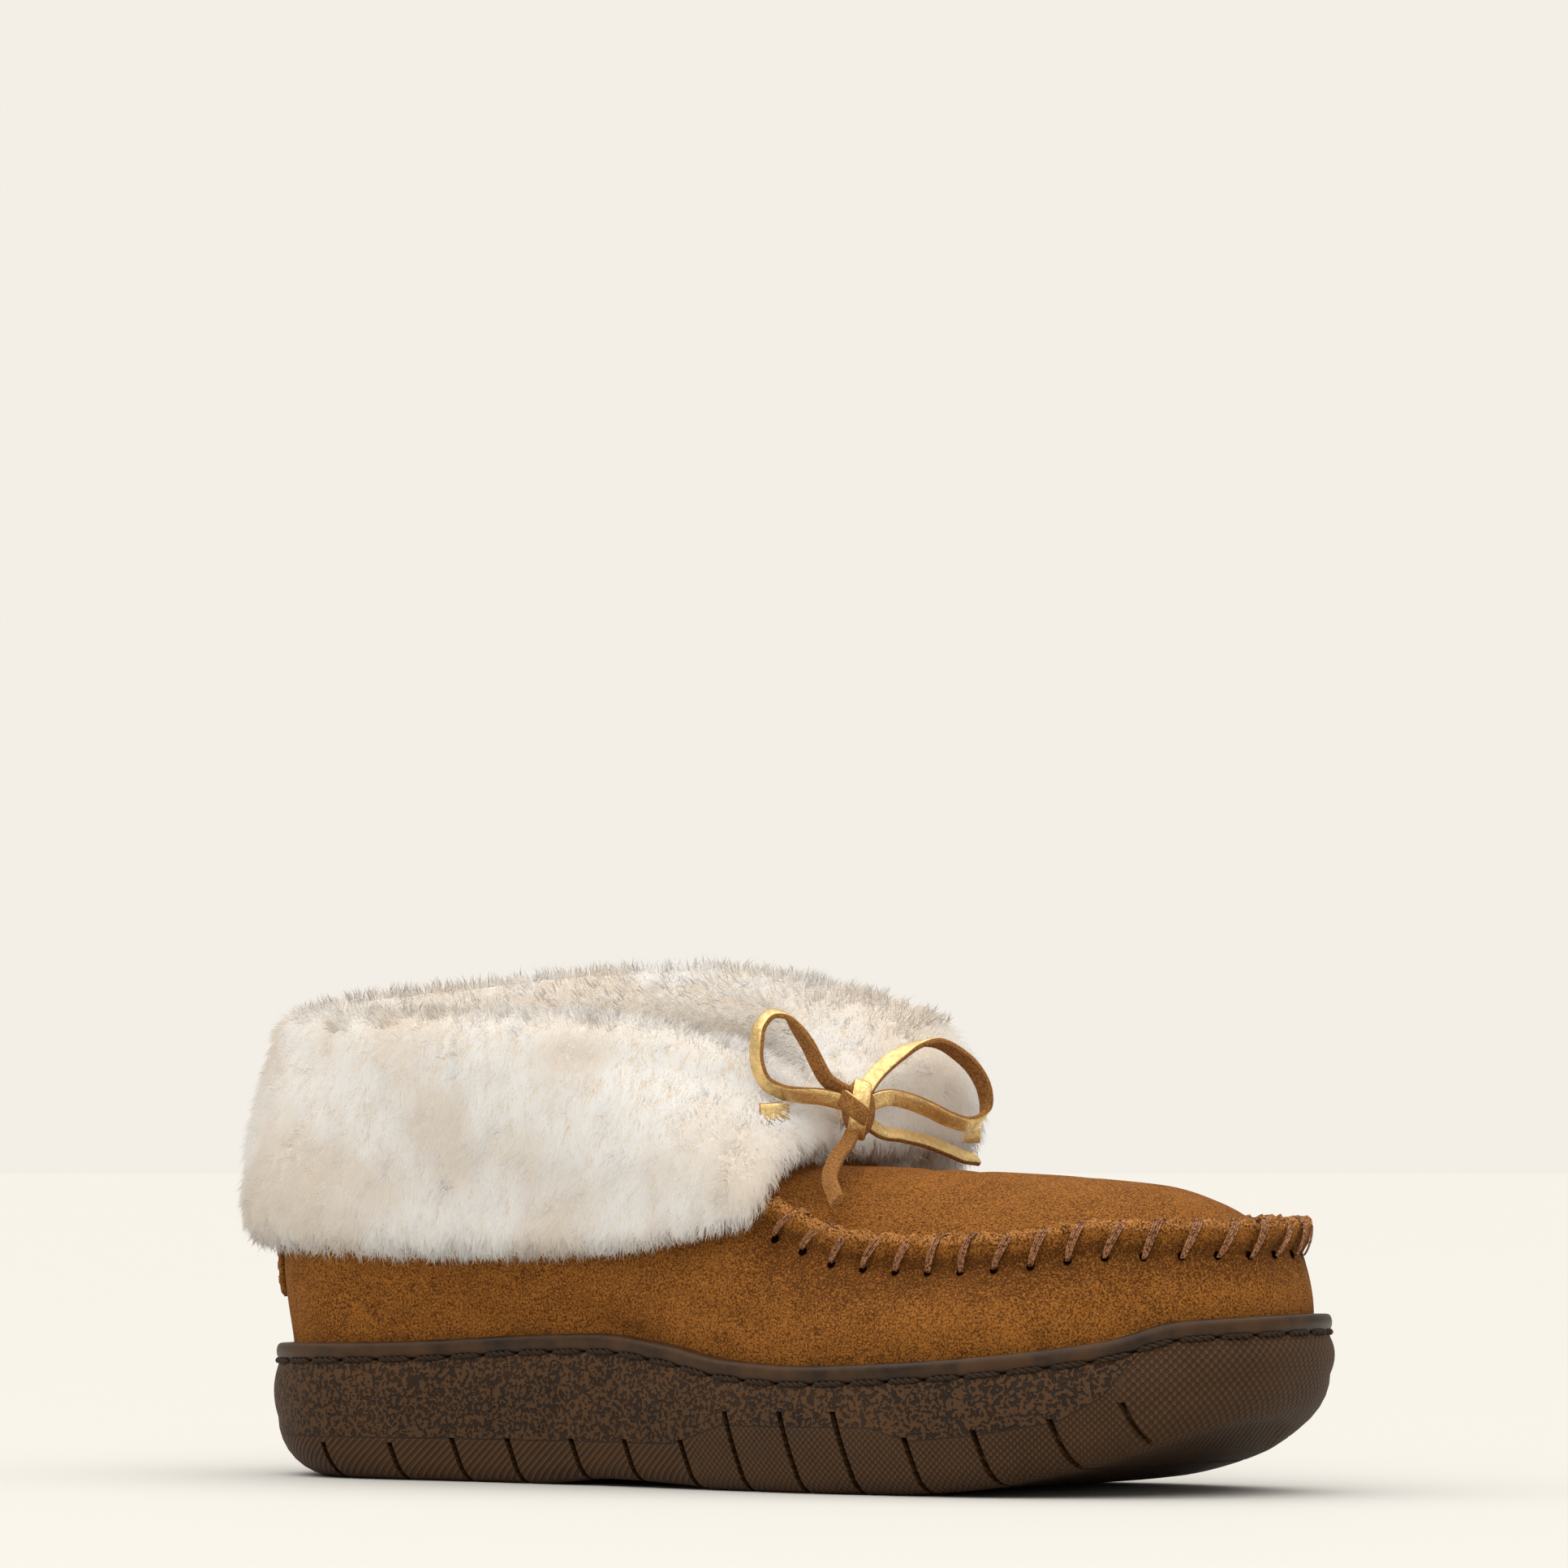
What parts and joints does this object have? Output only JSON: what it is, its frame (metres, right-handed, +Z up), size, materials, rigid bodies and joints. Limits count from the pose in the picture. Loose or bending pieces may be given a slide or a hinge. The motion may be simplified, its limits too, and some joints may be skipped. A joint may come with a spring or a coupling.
{
  "type": "slipper boot",
  "caption": "Ankle-high moccasin slipper boot: suede upper with a raised puckered toe seam, folded fleece cuff, leather lace bow and a cupped rubber sole with side sipes",
  "frame": {"origin": "on the floor under the middle of the heel seat", "axes": "+X runs from the heel to the toe, +Y to the inner side of the foot and +Z up from the floor"},
  "size_m": [0.2762, 0.0982, 0.1179],
  "materials": {
    "rubber": "matte dark brown rubber with moulded side texture",
    "welt": "smooth semi-matte dark brown rubber band",
    "suede": "napped tan suede",
    "fleece": "deep ivory pile",
    "footbed": "short ivory pile",
    "lace": "gold-faced leather, suede on the back"
  },
  "bodies": {
    "root": {"outsole": "rubber", "welt": "welt", "upper": "suede", "heel_tab": "suede", "insole": "footbed", "cuff": "fleece", "lace_bar": "lace", "bow_loop_outer": "lace", "bow_loop_inner": "lace", "lace_end_outer": "lace", "lace_end_inner": "lace", "bow_knot": "lace"}
  },
  "joints": []
}
